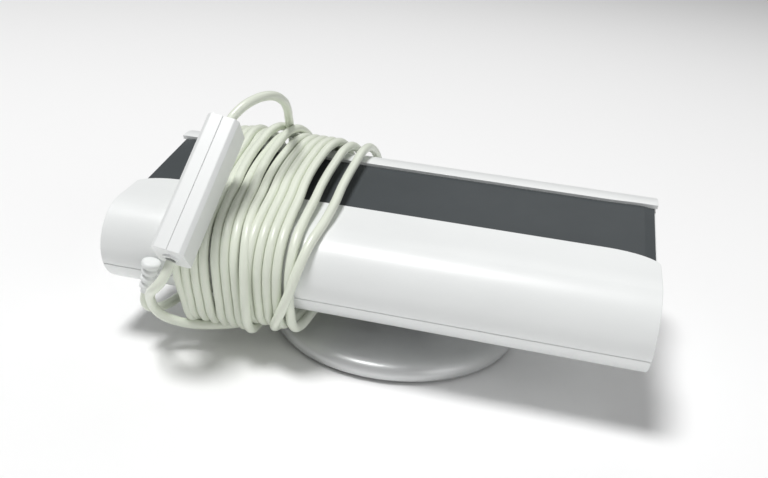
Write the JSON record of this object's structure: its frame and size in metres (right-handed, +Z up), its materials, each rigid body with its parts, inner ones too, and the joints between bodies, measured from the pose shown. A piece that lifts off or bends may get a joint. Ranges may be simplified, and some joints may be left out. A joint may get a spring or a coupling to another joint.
{
  "type": "indoor television antenna",
  "caption": "Wing-shaped white head with a dark front panel on a swivel and tilt neck over a round silver base, its coaxial cord wound round one end with an in-line box",
  "frame": {"origin": "centre of the round base's underside, where it stands on the table", "axes": "+X along the head towards its plain end, -Y towards the rolled near edge that is lower at rest, +Z up"},
  "size_m": [0.2, 0.1345, 0.0939],
  "materials": {
    "white_plastic": "satin to glossy moulded white plastic",
    "grey_panel": "dark grey satin plastic",
    "silver_paint": "silver-grey metallic paint, satin",
    "rubber": "dark matte rubber",
    "steel": "plated steel",
    "cord_jacket": "cream-white smooth cord jacket",
    "board": "green circuit board",
    "brass": "plain brass"
  },
  "bodies": {
    "base": {"base_pad": "rubber", "base_bottom_plate": "white_plastic", "base_weight": "steel", "base_cover": "silver_paint", "base_screw_1": "steel", "base_screw_2": "steel", "base_screw_3": "steel"},
    "neck": {"swivel_post": "white_plastic", "swivel_washer": "steel", "swivel_screw": "steel"},
    "head": {"near_shell": "white_plastic", "far_shell": "white_plastic", "back_shell": "white_plastic", "end_cap_left": "white_plastic", "end_cap_right": "white_plastic", "inline_box_left": "white_plastic", "inline_box_right": "white_plastic", "inline_bushing_upper": "white_plastic", "inline_bushing_lower": "white_plastic", "plug_body": "white_plastic", "plug_insulator": "white_plastic", "cord_boot": "white_plastic", "front_panel": "grey_panel", "hinge_bracket": "steel", "bracket_screw_1": "steel", "bracket_screw_2": "steel", "hinge_washer_left": "steel", "hinge_washer_right": "steel", "hinge_pin": "steel", "hinge_nut": "steel", "case_screw_1": "steel", "case_screw_2": "steel", "case_screw_3": "steel", "case_screw_4": "steel", "board_screw_1": "steel", "board_screw_2": "steel", "board_screw_3": "steel", "board_screw_4": "steel", "amplifier_can": "steel", "plug_sleeve": "steel", "element_board": "board", "inline_board": "board", "dipole_arm_left": "brass", "dipole_arm_right": "brass", "plug_pin": "brass", "cord_outlet": "cord_jacket", "cord_lead": "cord_jacket", "cord_output": "cord_jacket", "cord_coil": "cord_jacket"}
  },
  "joints": [
    {"name": "swivel_turn", "type": "hinge", "parent": "base", "child": "neck", "pos_m": [0, 0, 0.0112], "axis": [0, 0, 1], "range_deg": [-90, 90]},
    {"name": "head_tilt", "type": "hinge", "parent": "neck", "child": "head", "pos_m": [0, 0, 0.0185], "axis": [1, 0, 0], "range_deg": [-25, 3]}
  ]
}
